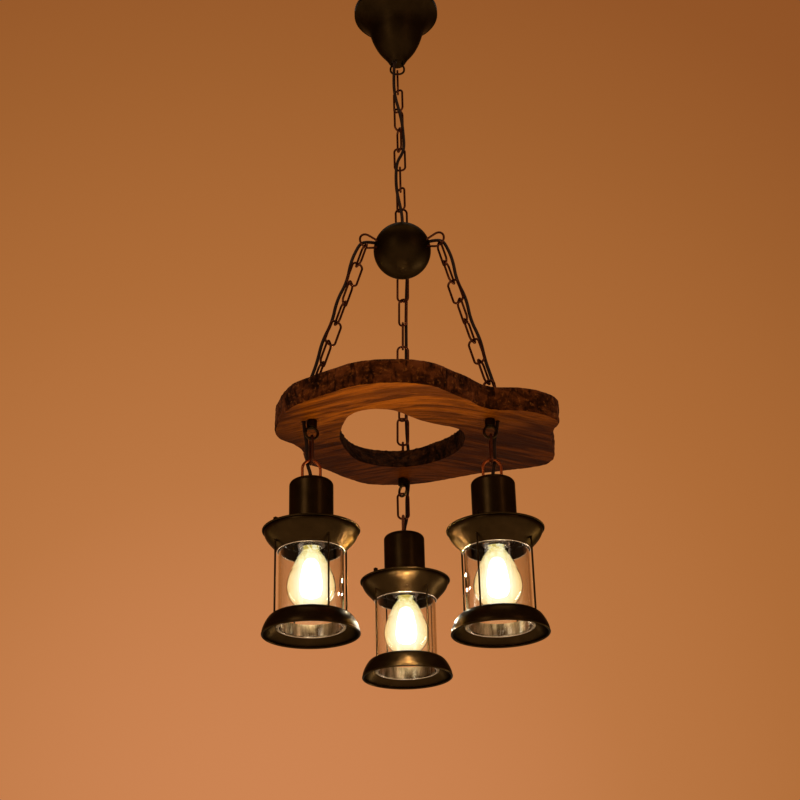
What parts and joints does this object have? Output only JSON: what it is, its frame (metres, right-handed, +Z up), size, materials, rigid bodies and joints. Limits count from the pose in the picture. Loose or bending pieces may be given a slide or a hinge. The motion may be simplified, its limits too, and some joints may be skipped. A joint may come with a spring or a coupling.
{
  "type": "wooden slab chandelier",
  "caption": "Live-edge wooden slab hung on chains from a ceiling canopy and a ball, with hurricane lanterns hung under the slab on eyes and links",
  "frame": {"origin": "Middle of the ceiling bracket's top face, on the ceiling", "axes": "+Z up to the ceiling, the object hangs to -Z, the viewer of the picture stands at -Y, +X is to the viewer's right"},
  "size_m": [0.3804, 0.3673, 0.9937],
  "materials": {
    "black_metal": "satin black paint with a warm brown sheen",
    "black_screw": "blackened screw head",
    "chain_metal": "dark antique bronze",
    "copper_wire": "worn copper over black",
    "zinc_steel": "plain zinc plated",
    "black_plastic": "matt black",
    "pale_plastic": "matt off-white",
    "cable_black": "matt black sheath",
    "wood": "stained and oiled, rough bark edge",
    "clear_glass": "clear, smooth",
    "bulb_glass": "clear bulb, lit warm",
    "bulb_metal": "bright"
  },
  "bodies": {
    "ceiling_mount": {"ceiling_bracket": "zinc_steel", "canopy": "black_metal", "canopy_screws": "black_screw", "canopy_loop": "black_metal", "loop_nuts": "zinc_steel", "cable_bush": "black_plastic", "terminal_block": "pale_plastic"},
    "swivel_link": {"top_link": "chain_metal"},
    "pendant": {"main_chain": "chain_metal", "main_cable": "cable_black", "hub_upper": "black_metal", "hub_lower": "black_metal", "hub_loop": "chain_metal", "side_loops": "chain_metal", "wire_splice": "pale_plastic", "upper_chains": "chain_metal", "upper_cables": "cable_black", "upper_eyes": "chain_metal", "wood_slab": "wood", "lower_eyes": "chain_metal", "lantern_cables": "cable_black"},
    "link_left": {"hanger_link_left": "chain_metal"},
    "lantern_left": {"lantern_cap_left": "black_metal", "top_plate_left": "black_metal", "crown_bowl_left": "black_metal", "lamp_holder_left": "black_plastic", "cap_nipple_left": "chain_metal", "cap_loop_left": "copper_wire", "chimney_left": "clear_glass", "base_skirt_left": "black_metal", "cage_rods_left": "black_metal", "rod_nut_left": "chain_metal", "bulb_glass_left": "bulb_glass", "bulb_base_left": "bulb_metal"},
    "link_back": {"hanger_link_back": "chain_metal"},
    "lantern_back": {"lantern_cap_back": "black_metal", "top_plate_back": "black_metal", "crown_bowl_back": "black_metal", "lamp_holder_back": "black_plastic", "cap_nipple_back": "chain_metal", "cap_loop_back": "copper_wire", "chimney_back": "clear_glass", "base_skirt_back": "black_metal", "cage_rods_back": "black_metal", "rod_nut_back": "chain_metal", "bulb_glass_back": "bulb_glass", "bulb_base_back": "bulb_metal"},
    "link_right": {"hanger_link_right": "chain_metal"},
    "lantern_right": {"lantern_cap_right": "black_metal", "top_plate_right": "black_metal", "crown_bowl_right": "black_metal", "lamp_holder_right": "black_plastic", "cap_nipple_right": "chain_metal", "cap_loop_right": "copper_wire", "chimney_right": "clear_glass", "base_skirt_right": "black_metal", "cage_rods_right": "black_metal", "rod_nut_right": "chain_metal", "bulb_glass_right": "bulb_glass", "bulb_base_right": "bulb_metal"}
  },
  "joints": [
    {"name": "swing_front", "type": "hinge", "parent": "ceiling_mount", "child": "swivel_link", "pos_m": [0, 0, -0.116], "axis": [1, 0, 0], "range_deg": [-20, 20], "deforming": ["main_cable"]},
    {"name": "swing_side", "type": "hinge", "parent": "swivel_link", "child": "pendant", "pos_m": [0, 0, -0.1499], "axis": [0, 1, 0], "range_deg": [-20, 20], "deforming": ["main_cable"]},
    {"name": "link_swing_left", "type": "hinge", "parent": "pendant", "child": "link_left", "pos_m": [-0.12114, -0.0652, -0.73261], "axis": [0.9659, 0.2588, 0], "range_deg": [-10, 10], "deforming": ["lantern_cables"]},
    {"name": "lantern_swing_left", "type": "hinge", "parent": "link_left", "child": "lantern_left", "pos_m": [-0.12114, -0.0652, -0.76631], "axis": [-0.2588, 0.9659, 0], "range_deg": [-10, 10], "deforming": ["lantern_cables"]},
    {"name": "link_swing_back", "type": "hinge", "parent": "pendant", "child": "link_back", "pos_m": [-0.00806, 0.1307, -0.73509], "axis": [-0.6428, 0.766, 0], "range_deg": [-10, 10], "deforming": ["lantern_cables"]},
    {"name": "lantern_swing_back", "type": "hinge", "parent": "link_back", "child": "lantern_back", "pos_m": [-0.00806, 0.1307, -0.76879], "axis": [0.9962, 0.0872, 0], "range_deg": [-10, 10], "deforming": ["lantern_cables"]},
    {"name": "link_swing_right", "type": "hinge", "parent": "pendant", "child": "link_right", "pos_m": [0.10501, -0.0652, -0.73758], "axis": [0.9962, 0.0872, 0], "range_deg": [-10, 10], "deforming": ["lantern_cables"]},
    {"name": "lantern_swing_right", "type": "hinge", "parent": "link_right", "child": "lantern_right", "pos_m": [0.10501, -0.0652, -0.77128], "axis": [-0.0872, 0.9962, 0], "range_deg": [-10, 10], "deforming": ["lantern_cables"]}
  ]
}
